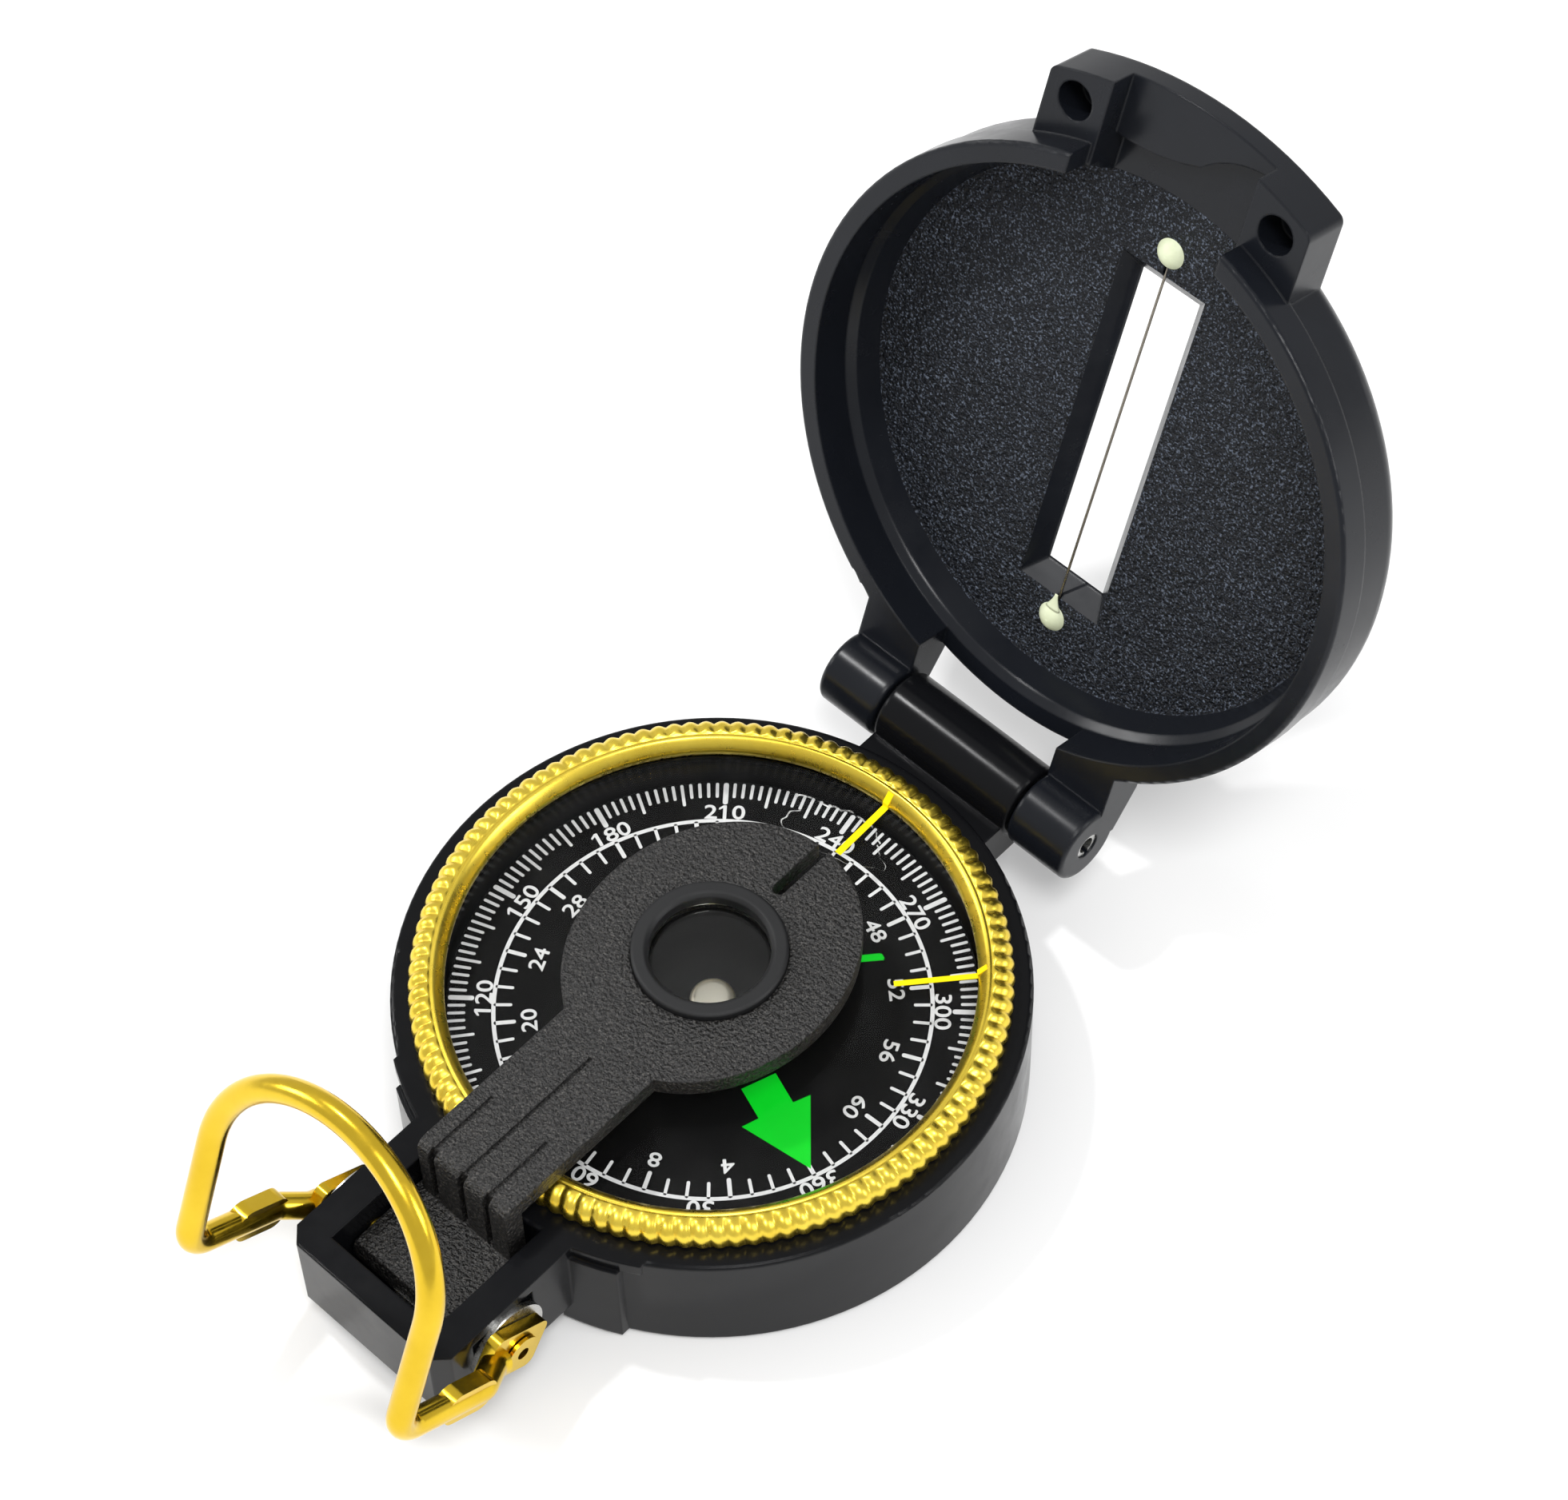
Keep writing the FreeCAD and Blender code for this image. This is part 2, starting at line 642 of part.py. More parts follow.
def eyepiece_bracket():
    z0 = eyepiece_bottom
    z1 = eyepiece_top
    oval = Part.Ellipse(Vector(0, head_centre_y + head_half_length, z0),
                        Vector(-head_half_width, head_centre_y, z0), Vector(0, head_centre_y, z0))
    head = Part.Face(Part.Wire(oval.toShape())).extrude(Vector(0, 0, z1 - z0))
    handle = box(-handle_half_width, handle_half_width, neck_rear, 0, z0, z1)
    corner = [e for e in handle.Edges if e.BoundBox.XLength > 1 and e.BoundBox.YMax < neck_rear + 0.01
              and e.BoundBox.ZMin > z1 - 0.01]
    handle = handle.makeFillet(neck_corner_round, corner)
    neck = box(-handle_half_width, handle_half_width, neck_rear, neck_front, pivot_z - foot_top, z0)

    foot = rod_x(foot_radius, -foot_half_width, foot_half_width, pivot_y, pivot_z)
    foot = foot.cut(box(-box_half_width, box_half_width, pivot_y - 5, pivot_y + 5,
                        pivot_z + foot_top, pivot_z + 10))
    foot = foot.fuse(box(-foot_half_width, foot_half_width, pivot_y, neck_front,
                         pivot_z - foot_top, pivot_z + foot_top))
    body = head.multiFuse([handle, neck, foot]).removeSplitter()

    # grooves along the handle, deeper where they run down the neck
    for x, start in rib_lines:
        body = body.cut(box(x - rib_width / 2, x + rib_width / 2, neck_rear - 1, start, z1 - rib_depth, z1 + 1))
        body = body.cut(box(x - rib_width, x + rib_width, neck_rear - 1, neck_rear + fin_depth,
                            pivot_z + foot_top, z1 + 1))

    # lens seat, collar recess and sighting slot
    seat = z0 + lens_lip_thickness
    body = body.cut(disc(lens_radius + lens_clearance, seat, z1 + 1))
    body = body.cut(disc(lens_radius - lens_lip, z0 - 1, z1))
    body = body.cut(disc(collar_radius + lens_clearance, seat + lens_edge, z1 + 1))
    slot = box(-sight_width / 2, sight_width / 2, sight_start, 2 * head_half_length, z0 - 1, z1 + 1)
    body = body.cut(slot).cut(disc(sight_width / 2, z0 - 1, z1 + 1, 0, sight_start))
    bore = rod_x(rivet_radius + pin_running_clearance, -box_half_width, box_half_width, pivot_y, pivot_z)
    return body.cut(bore)


def magnifier_lens():
    z0 = eyepiece_bottom + lens_lip_thickness
    rim = disc(lens_radius, z0, z0 + lens_edge)
    crown_radius = (lens_radius ** 2 + lens_crown ** 2) / (2 * lens_crown)
    ball = Part.makeSphere(crown_radius, Vector(0, 0, z0 + lens_edge + lens_crown - crown_radius))
    crown = ball.common(disc(collar_opening - 0.05, z0 + lens_edge, z0 + 10))
    return rim.fuse(crown).removeSplitter()


def lens_collar():
    z0 = eyepiece_bottom + lens_lip_thickness + lens_edge
    z1 = eyepiece_top + collar_proud
    return lathe([
        (collar_opening, z0), (collar_radius, z0), (collar_radius, z1 - collar_bevel / 2),
        (collar_radius - collar_bevel / 2, z1), (collar_opening + collar_bevel, z1),
        (collar_opening, z1 - collar_bevel),
    ])


def pivot_rivets():
    """Hollow rivets that hold the loop's eyelets and carry the eyepiece."""
    inner = box_inner_half - rivet_reach
    head_start = eyelet_outer + eyelet_gap
    rivet = rod_x(rivet_radius, inner, head_start + rivet_head, pivot_y, pivot_z)
    rivet = rivet.fuse(rod_x(rivet_head_radius, head_start, head_start + rivet_head, pivot_y, pivot_z))
    return pair(rivet.cut(rod_x(rivet_bore, inner - 1, head_start + 1, pivot_y, pivot_z)))


def washers():
    washer = rod_x(washer_radius, box_half_width, box_half_width + washer_thickness, pivot_y, pivot_z)
    return pair(washer.cut(rod_x(rivet_radius, 0, box_half_width + 1, pivot_y, pivot_z)))


def leaf_spring():
    """A shallow arch under the eyepiece's foot."""
    floor = box_bottom + box_floor
    y0 = -box_inner_rear + leaf_end_gap
    y1 = 2 * pivot_y - y0
    rise = pivot_z - foot_radius - floor - leaf_thickness - 0.05
    lower = Part.Arc(Vector(-leaf_half_width, y0, floor), Vector(-leaf_half_width, pivot_y, floor + rise),
                     Vector(-leaf_half_width, y1, floor))
    up = Vector(0, 0, leaf_thickness)
    upper = Part.Arc(Vector(-leaf_half_width, y1, floor) + up,
                     Vector(-leaf_half_width, pivot_y, floor + rise) + up,
                     Vector(-leaf_half_width, y0, floor) + up)
    ends = [Part.LineSegment(lower.EndPoint, upper.StartPoint), Part.LineSegment(upper.EndPoint, lower.StartPoint)]
    outline = Part.Wire([lower.toShape(), ends[0].toShape(), upper.toShape(), ends[1].toShape()])
    return Part.Face(outline).extrude(Vector(2 * leaf_half_width, 0, 0))


def rounded_route(points, radii):
    """Edges of a polyline whose inner corners are rounded by tangent arcs."""
    edges = []
    start = points[0]
    for before, corner, after, radius in zip(points, points[1:], points[2:], radii):
        way_in = (corner - before).normalize()
        way_out = (after - corner).normalize()
        turn = way_in.getAngle(way_out)
        reach = radius * math.tan(turn / 2)
        arc_start = corner - way_in * reach
        arc_end = corner + way_out * reach
        inward = (way_out - way_in).normalize()
        depth = radius * (1 / math.cos(turn / 2) - 1)
        edges.append(Part.LineSegment(start, arc_start).toShape())
        edges.append(Part.Arc(arc_start, corner + inward * depth, arc_end).toShape())
        start = arc_end
    edges.append(Part.LineSegment(start, points[-1]).toShape())
    return edges


def loop_point(x, along, angle, origin=None):
    origin = origin or Vector(0, pivot_y, pivot_z)
    angle = math.radians(angle)
    return Vector(x, origin.y + along * math.cos(angle), origin.z + along * math.sin(angle))


def arm_plate(x0, x1, start, end, half_width, corner_round):
    """A flat plate along the arm's line, between two distances from the pivot."""
    plate = box(x0, x1, pivot_y + start, pivot_y + end, pivot_z - half_width, pivot_z + half_width)
    plate = plate.makeFillet(corner_round, [e for e in plate.Edges if e.BoundBox.XLength > 0.1])
    plate.rotate(Vector(0, pivot_y, pivot_z), Vector(1, 0, 0), loop_arm_angle)
    return plate


def thumb_loop():
    corner = loop_point(loop_half_width, loop_arm_length, loop_arm_angle)
    right = [
        loop_point(wire_start_x, joggle_start - 1, loop_arm_angle),
        loop_point(wire_start_x, joggle_start, loop_arm_angle),
        loop_point(loop_half_width, joggle_end, loop_arm_angle),
        corner,
        loop_point(loop_half_width, loop_leg_length, loop_bow_angle, corner),
    ]
    left = [Vector(-p.x, p.y, p.z) for p in reversed(right)]
    radii = [loop_joggle_radius, loop_joggle_radius, loop_corner_radius]
    apex = loop_point(0, loop_leg_length + loop_half_width, loop_bow_angle, corner)
    bow = Part.Arc(right[-1], apex, left[0]).toShape()
    path = Part.Wire(rounded_route(right, radii) + [bow] + rounded_route(left, radii[::-1]))
    section = Part.Wire(Part.makeCircle(loop_wire_radius, right[0], right[1] - right[0]))
    wire = path.makePipeShell([section], True, False)

    # eyelets on the rivets, and the stretch of each arm that is pressed flat
    plate = arm_plate(eyelet_inner, eyelet_outer, -eyelet_front, eyelet_back, eyelet_half_width, eyelet_round)
    flat = arm_plate(loop_half_width - flat_thickness / 2, loop_half_width + flat_thickness / 2,
                     flat_start, flat_end, flat_half_width, flat_half_width * 0.9)
    body = wire.multiFuse([plate, flat, mirrored_x(plate), mirrored_x(flat)]).removeSplitter()
    return body.cut(rod_x(rivet_radius + pin_running_clearance, -2 * loop_half_width, 2 * loop_half_width,
                          pivot_y, pivot_z))


def main():
    os.makedirs("parts", exist_ok=True)
    save("base_case", base_case())
    save("lid_cover", lid_cover())
    save("lid_hinge_pin", hinge_pin())
    save("sight_wire", sight_wire())
    save("wire_glue_dots", wire_dots())
    save("bezel_ring", bezel_ring())
    save("bezel_window", bezel_window())
    save("bearing_lines", Part.makeCompound([bearing_line(*sizes) for sizes in bearing_line_sizes]))
    save("bezel_retaining_spring", retaining_spring())
    save("capsule_cup", capsule_cup())
    save("capsule_gasket", ring(cup_inner_radius, cup_outer_radius, cup_top, gasket_top))
    save("capsule_window", disc(cup_outer_radius, gasket_top, capsule_top))
    save("capsule_fill_plug", fill_plug())
    save("damping_liquid", damping_liquid())
    save("compass_card", card())
    save("card_magnets", magnets())
    save("jewel_cap", jewel_cap())
    save("pivot_needle", pivot_needle())
    save("pivot_post", pivot_post())
    save("eyepiece_bracket", eyepiece_bracket())
    save("magnifier_lens", magnifier_lens())
    save("lens_collar", lens_collar())
    save("eyepiece_leaf_spring", leaf_spring())
    save("pivot_rivets", pivot_rivets())
    save("loop_washers", washers())
    save("thumb_loop", thumb_loop())


main()
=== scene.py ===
import json
import math

import bmesh
import bpy
from mathutils import Matrix, Vector, noise


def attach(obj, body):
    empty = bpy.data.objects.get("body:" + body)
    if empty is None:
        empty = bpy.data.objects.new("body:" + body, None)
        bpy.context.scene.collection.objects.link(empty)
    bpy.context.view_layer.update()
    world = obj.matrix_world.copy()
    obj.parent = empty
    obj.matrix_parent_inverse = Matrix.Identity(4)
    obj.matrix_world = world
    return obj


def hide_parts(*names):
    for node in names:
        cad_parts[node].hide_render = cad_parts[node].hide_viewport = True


mm = 0.001
noiseMiddle = (0.3, 0.7)    # most of a noise texture's values lie between these

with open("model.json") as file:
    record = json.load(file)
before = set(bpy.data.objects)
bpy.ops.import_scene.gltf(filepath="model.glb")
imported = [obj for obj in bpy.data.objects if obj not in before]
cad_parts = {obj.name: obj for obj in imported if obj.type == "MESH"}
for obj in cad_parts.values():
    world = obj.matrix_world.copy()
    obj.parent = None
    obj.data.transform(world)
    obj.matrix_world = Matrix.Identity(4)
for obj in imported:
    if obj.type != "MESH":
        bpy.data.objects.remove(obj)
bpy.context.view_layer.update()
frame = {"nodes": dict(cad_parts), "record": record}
print("frame loaded:", len(frame["nodes"]), "nodes")


# camera
cameraLook = {
    "azimuth": 44.82,       # degrees round from the compass's front, towards its right
    "elevation": 56.13,
    "roll": -1.90,
    "target": (-10.04, 19.70, 16.19),
    "distance": 406.1,
    "lens": 108.0,
    "sensor": 36.0,
}


def addCamera(look):
    azimuth = math.radians(look["azimuth"])
    elevation = math.radians(look["elevation"])
    roll = math.radians(look["roll"])
    back = Vector((math.sin(azimuth) * math.cos(elevation),
                   -math.cos(azimuth) * math.cos(elevation), math.sin(elevation)))
    level = Vector((math.cos(azimuth), math.sin(azimuth), 0))
    upright = back.cross(level)
    right = level * math.cos(roll) + upright * math.sin(roll)
    up = back.cross(right)
    data = bpy.data.cameras.new("camera")
    data.lens = look["lens"]
    data.sensor_width = look["sensor"]
    data.sensor_fit = "HORIZONTAL"
    data.clip_start = 0.01
    data.clip_end = 20
    data.dof.use_dof = False
    camera = bpy.data.objects.new("camera", data)
    bpy.context.scene.collection.objects.link(camera)
    placed = Matrix((right, up, back)).transposed().to_4x4()
    placed.translation = Vector(look["target"]) * mm + back * look["distance"] * mm
    camera.matrix_world = placed
    bpy.context.scene.camera = camera


addCamera(cameraLook)
print("camera placed")


# materials
def startMaterial(name):
    material = bpy.data.materials.new(name)
    material.use_nodes = True
    tree = material.node_tree
    shader = tree.nodes["Principled BSDF"]
    place = tree.nodes.new("ShaderNodeTexCoord")
    return material, tree, shader, place.outputs["Object"]


def addNoise(tree, place, scale, detail=3.0, roughness=0.55, stretch=None):
    if stretch:
        mapping = tree.nodes.new("ShaderNodeMapping")
        mapping.inputs["Scale"].default_value = stretch
        tree.links.new(place, mapping.inputs["Vector"])
        place = mapping.outputs["Vector"]
    texture = tree.nodes.new("ShaderNodeTexNoise")
    texture.inputs["Scale"].default_value = scale
    texture.inputs["Detail"].default_value = detail
    texture.inputs["Roughness"].default_value = roughness
    tree.links.new(place, texture.inputs["Vector"])
    return texture.outputs["Fac"]


def addRange(tree, value, low, high, fromLow=0.0, fromHigh=1.0):
    node = tree.nodes.new("ShaderNodeMapRange")
    node.inputs["From Min"].default_value = fromLow
    node.inputs["From Max"].default_value = fromHigh
    node.inputs["To Min"].default_value = low
    node.inputs["To Max"].default_value = high
    tree.links.new(value, node.inputs["Value"])
    return node.outputs["Result"]


def addBlend(tree, factor, first, second):
    node = tree.nodes.new("ShaderNodeMix")
    node.data_type = "RGBA"
    colors = [s for s in node.inputs if s.type == "RGBA"]
    for socket, value in zip(colors, (first, second)):
        if isinstance(value, (tuple, list)):
            socket.default_value = (*value, 1.0)
        else:
            tree.links.new(value, socket)
    tree.links.new(factor, node.inputs["Factor"])
    return [s for s in node.outputs if s.type == "RGBA"][0]


def addMath(tree, kind, first, second=None, third=None):
    node = tree.nodes.new("ShaderNodeMath")
    node.operation = kind
    for socket, value in zip(node.inputs, (first, second, third)):
        if value is None:
            continue
        if isinstance(value, (int, float)):
            socket.default_value = value
        else:
            tree.links.new(value, socket)
    return node.outputs["Value"]


def addSoftEdges(tree, radius):
    node = tree.nodes.new("ShaderNodeBevel")
    node.samples = 4
    node.inputs["Radius"].default_value = radius * mm
    return node.outputs["Normal"]


def addBump(tree, shader, height, distance, under=None):
    node = tree.nodes.new("ShaderNodeBump")
    node.inputs["Strength"].default_value = 1.0
    node.inputs["Distance"].default_value = distance
    tree.links.new(height, node.inputs["Height"])
    if under:
        tree.links.new(under, node.inputs["Normal"])
    tree.links.new(node.outputs["Normal"], shader.inputs["Normal"])
    return node.outputs["Normal"]


def mouldedPlastic(name, look):
    material, tree, shader, place = startMaterial(name)
    cloud = addNoise(tree, place, look["cloudScale"], 4.0)
    tree.links.new(addBlend(tree, cloud, look["dark"], look["light"]), shader.inputs["Base Color"])
    smear = addNoise(tree, place, look["cloudScale"] * 2.6, 5.0, 0.65)
    tree.links.new(addRange(tree, smear, *look["roughness"], *noiseMiddle), shader.inputs["Roughness"])
    grain = addNoise(tree, place, look["grainScale"], 2.0)
    wave = addNoise(tree, place, look["waveScale"], 1.0)
    under = addBump(tree, shader, wave, look["waveDepth"] * mm, addSoftEdges(tree, look["edge"]))
    addBump(tree, shader, grain, look["grainDepth"] * mm, under)
    shader.inputs["Specular IOR Level"].default_value = look["specular"]
    return material


casePlasticLook = {
    "dark": (0.0030, 0.0031, 0.0036), "light": (0.0055, 0.0058, 0.0070),
    "cloudScale": 90.0, "roughness": (0.14, 0.26), "specular": 0.12,
    "grainScale": 9000.0, "grainDepth": 0.0015, "waveScale": 260.0, "waveDepth": 0.012, "edge": 0.3,
}
collarPlasticLook = dict(casePlasticLook, dark=(0.006, 0.0062, 0.0068), light=(0.011, 0.0112, 0.012),
                         roughness=(0.40, 0.52), grainScale=5200.0, grainDepth=0.006, specular=0.35)
cupPlasticLook = dict(casePlasticLook, dark=(0.002, 0.002, 0.002), light=(0.004, 0.004, 0.005),
                      roughness=(0.5, 0.6))
rubberLook = dict(casePlasticLook, roughness=(0.7, 0.85), grainScale=3000.0, grainDepth=0.006)

erodedLook = {
    # the speck colour is that of painted glints on the grain
    "dark": (0.0050, 0.0048, 0.0048), "light": (0.0100, 0.0095, 0.0092), "speck": (0.085, 0.080, 0.074),
    "speckEdge": (0.53, 0.74), "roughness": (0.30, 0.50), "pitScale": 2900.0, "pitDepth": 0.34,
    "fineScale": 5200.0, "fineDepth": 0.06, "specular": 0.42, "edge": 0.35,
}


def erodedPlastic(name, look):
    # spark-eroded mould grain: shallow rounded pits with a finer tooth on top; the tooth's peaks carry
    # painted glints
    material, tree, shader, place = startMaterial(name)
    cloud = addNoise(tree, place, 120.0, 4.0)
    plain = addBlend(tree, cloud, look["dark"], look["light"])
    pits = addNoise(tree, place, look["pitScale"], 2.0, 0.5)
    fine = addNoise(tree, place, look["fineScale"], 2.0, 0.6)
    # painted glints: the fine tooth's peaks are lightened to the speck colour
    paintedGlintMask = addRange(tree, fine, 0.0, 1.0, *look["speckEdge"])
    tree.links.new(addBlend(tree, paintedGlintMask, plain, look["speck"]), shader.inputs["Base Color"])
    tree.links.new(addRange(tree, fine, *look["roughness"], *noiseMiddle), shader.inputs["Roughness"])
    under = addBump(tree, shader, pits, look["pitDepth"] * mm, addSoftEdges(tree, look["edge"]))
    addBump(tree, shader, fine, look["fineDepth"] * mm, under)
    shader.inputs["Specular IOR Level"].default_value = look["specular"]
    return material


lidLook = {
    "facing": (0.0, 0.9444, -0.3289),   # out through the lid's floor, with the lid open
    "floor": 33.48,                      # distance of the grained floor along that direction
    "floorBand": 0.15, "floorCentre": (0.0, 49.40, 40.02), "floorRadius": 24.9,
    "smoothRoughness": (0.18, 0.30), "grainRoughness": (0.42, 0.62),
    "dark": (0.0045, 0.0052, 0.0070), "light": (0.0085, 0.0100, 0.0140),
    "grainScale": 2500.0, "grainDepth": 0.60, "speckScale": 4600.0, "speckEdge": (0.54, 0.72),
    # the next colour is that of the painted glints on the floor
    "paintedSparkleColor": (0.105, 0.125, 0.165),
    "waveScale": 260.0, "waveDepth": 0.012, "specular": 0.22, "edge": 0.3,
}


def lidPlastic(name, look):
    # smooth walls, grained floor with painted glints: bright bluish specks painted on the grain
    material, tree, shader, place = startMaterial(name)
    along = tree.nodes.new("ShaderNodeVectorMath")
    along.operation = "DOT_PRODUCT"
    along.inputs[1].default_value = look["facing"]
    tree.links.new(place, along.inputs[0])
    level = addMath(tree, "COMPARE", along.outputs["Value"], look["floor"] * mm,
                    look["floorBand"] * mm)
    spread = tree.nodes.new("ShaderNodeVectorMath")
    spread.operation = "DISTANCE"
    spread.inputs[1].default_value = Vector(look["floorCentre"]) * mm
    tree.links.new(place, spread.inputs[0])
    inside = addMath(tree, "LESS_THAN", spread.outputs["Value"], look["floorRadius"] * mm)
    onFloor = addMath(tree, "MULTIPLY", level, inside)
    cloud = addNoise(tree, place, 90.0, 4.0)
    plain = addBlend(tree, cloud, look["dark"], look["light"])
    speck = addNoise(tree, place, look["speckScale"], 1.0)
    paintedGlintMask = addRange(tree, speck, 0.0, 1.0, *look["speckEdge"])
    # painted glints: the floor's speck peaks are lightened to a bluish sparkle
    paintedSparkle = addMath(tree, "MULTIPLY", paintedGlintMask, onFloor)
    tree.links.new(addBlend(tree, paintedSparkle, plain, look["paintedSparkleColor"]), shader.inputs["Base Color"])
    smear = addNoise(tree, place, 240.0, 5.0, 0.65)
    smooth = addRange(tree, smear, *look["smoothRoughness"], *noiseMiddle)
    rough = addRange(tree, speck, *look["grainRoughness"], *noiseMiddle)
    mix = tree.nodes.new("ShaderNodeMix")
    tree.links.new(onFloor, mix.inputs["Factor"])
    tree.links.new(smooth, mix.inputs["A"])
    tree.links.new(rough, mix.inputs["B"])
    tree.links.new(mix.outputs["Result"], shader.inputs["Roughness"])
    grain = addNoise(tree, place, look["grainScale"], 2.0, 0.6)
    wave = addNoise(tree, place, look["waveScale"], 1.0)
    under = addBump(tree, shader, wave, look["waveDepth"] * mm, addSoftEdges(tree, look["edge"]))
    addBump(tree, shader, addMath(tree, "MULTIPLY", grain, onFloor), look["grainDepth"] * mm, under)
    shader.inputs["Specular IOR Level"].default_value = look["specular"]
    return material


def brightMetal(name, look):
    material, tree, shader, place = startMaterial(name)
    cloud = addNoise(tree, place, look["cloudScale"], 5.0, 0.6)
    tree.links.new(addBlend(tree, cloud, look["dark"], look["light"]), shader.inputs["Base Color"])
    smear = addNoise(tree, place, look["smearScale"], 4.0, 0.7, look.get("stretch"))
    tree.links.new(addRange(tree, smear, *look["roughness"], *noiseMiddle), shader.inputs["Roughness"])
    addBump(tree, shader, smear, look["depth"] * mm)
    shader.inputs["Metallic"].default_value = 1.0
    return material


goldRingLook = {
    "dark": (0.74, 0.52, 0.04), "light": (0.90, 0.70, 0.10), "cloudScale": 220.0,
    "smearScale": 900.0, "roughness": (0.24, 0.34), "depth": 0.0012, "stretch": (1.0, 1.0, 0.4),
}
goldWireLook = {
    "dark": (0.58, 0.37, 0.015), "light": (0.82, 0.58, 0.05), "cloudScale": 160.0,
    "smearScale": 700.0, "roughness": (0.15, 0.26), "depth": 0.0015,
}
steelLook = {
    "dark": (0.42, 0.42, 0.41), "light": (0.68, 0.68, 0.66), "cloudScale": 400.0,
    "smearScale": 3000.0, "roughness": (0.2, 0.38), "depth": 0.003,
}
wireSteelLook = dict(steelLook, dark=(0.12, 0.11, 0.10), light=(0.30, 0.27, 0.22))
darkSteelLook = dict(steelLook, dark=(0.02, 0.02, 0.022), light=(0.06, 0.06, 0.062))
brassLook = dict(steelLook, dark=(0.80, 0.73, 0.60), light=(0.96, 0.91, 0.80), roughness=(0.36, 0.5))


def clearSheet(name, look):
    # a polished clear pane: see-through face on, brighter towards a grazing view
    material, tree, shader, place = startMaterial(name)
    weight = tree.nodes.new("ShaderNodeLayerWeight")
    weight.inputs["Blend"].default_value = 0.5
    graze = addMath(tree, "POWER", weight.outputs["Facing"], look["falloff"])
    sheen = addRange(tree, graze, *look["reflect"])
    haze = addNoise(tree, place, look["hazeScale"], 4.0, 0.6)
    film = addRange(tree, haze, 0.0, look["haze"], *look["hazeEdge"])
    tree.links.new(addMath(tree, "ADD", sheen, film), shader.inputs["Alpha"])
    tree.links.new(addRange(tree, haze, *look["roughness"], *noiseMiddle), shader.inputs["Roughness"])
    tint = addBlend(tree, haze, look["dark"], look["light"])
    tree.links.new(tint, shader.inputs["Base Color"])
    shader.inputs["Metallic"].default_value = 1.0
    return material


paneLook = {
    "dark": (0.86, 0.87, 0.88), "light": (0.93, 0.93, 0.93), "falloff": 4.0, "reflect": (0.003, 0.5),
    "hazeScale": 180.0, "haze": 0.006, "hazeEdge": (0.45, 0.8), "roughness": (0.02, 0.06),
}
liquidLook = dict(paneLook, reflect=(0.002, 0.2), hazeScale=90.0, haze=0.003, roughness=(0.02, 0.05))


def clearLens(name, look):
    material, tree, shader, place = startMaterial(name)
    haze = addNoise(tree, place, look["hazeScale"], 3.0)
    tint = addBlend(tree, haze, look["dark"], look["light"])
    tree.links.new(tint, shader.inputs["Base Color"])
    rough = addRange(tree, haze, *look["roughness"], *look["hazeEdge"])
    tree.links.new(rough, shader.inputs["Roughness"])
    shader.inputs["Transmission Weight"].default_value = 1.0
    shader.inputs["IOR"].default_value = look["ior"]
    shader.inputs["Specular IOR Level"].default_value = look["specular"]
    return material


lensLook = {"hazeScale": 500.0, "hazeEdge": (0.5, 0.7), "dark": (0.93, 0.95, 0.94),
            "light": (0.98, 0.99, 0.98), "roughness": (0.0, 0.004), "ior": 1.27, "specular": 0.12}


def printedInk(name, look):
    material, tree, shader, place = startMaterial(name)
    patch = addNoise(tree, place, look["patchScale"], 5.0, 0.7)
    tree.links.new(addBlend(tree, patch, look["thin"], look["full"]), shader.inputs["Base Color"])
    tree.links.new(addRange(tree, patch, *look["roughness"], *noiseMiddle), shader.inputs["Roughness"])
    addBump(tree, shader, patch, look["depth"] * mm)
    shader.inputs["Specular IOR Level"].default_value = look.get("specular", 0.15)
    # a look with this key gets a painted glow: emission that brightens the ink though it is no lamp
    if look.get("paintedGlow"):
        shader.inputs["Emission Color"].default_value = (*look["full"], 1.0)
        shader.inputs["Emission Strength"].default_value = look["paintedGlow"]
    return material


cardInkLook = {"thin": (0.0015, 0.0015, 0.0015), "full": (0.003, 0.003, 0.003), "patchScale": 300.0,
               "roughness": (0.5, 0.65), "depth": 0.0005, "specular": 0.08}
whiteInkLook = {"thin": (0.62, 0.63, 0.63), "full": (0.86, 0.87, 0.87), "patchScale": 2200.0,
                "roughness": (0.45, 0.6), "depth": 0.003}
# the green and yellow inks carry a painted glow on top of their printed colour
greenInkLook = {"thin": (0.0, 0.56, 0.012), "full": (0.0, 0.68, 0.02), "patchScale": 700.0,
                "roughness": (0.4, 0.55), "depth": 0.003, "paintedGlow": 0.12}
yellowInkLook = {"thin": (0.86, 0.66, 0.0), "full": (0.95, 0.78, 0.005), "patchScale": 1400.0,
                 "roughness": (0.35, 0.5), "depth": 0.004, "paintedGlow": 0.12}
glowInkLook = {"thin": (0.56, 0.61, 0.40), "full": (0.74, 0.79, 0.57), "patchScale": 900.0,
               "roughness": (0.38, 0.55), "depth": 0.02, "specular": 0.5}

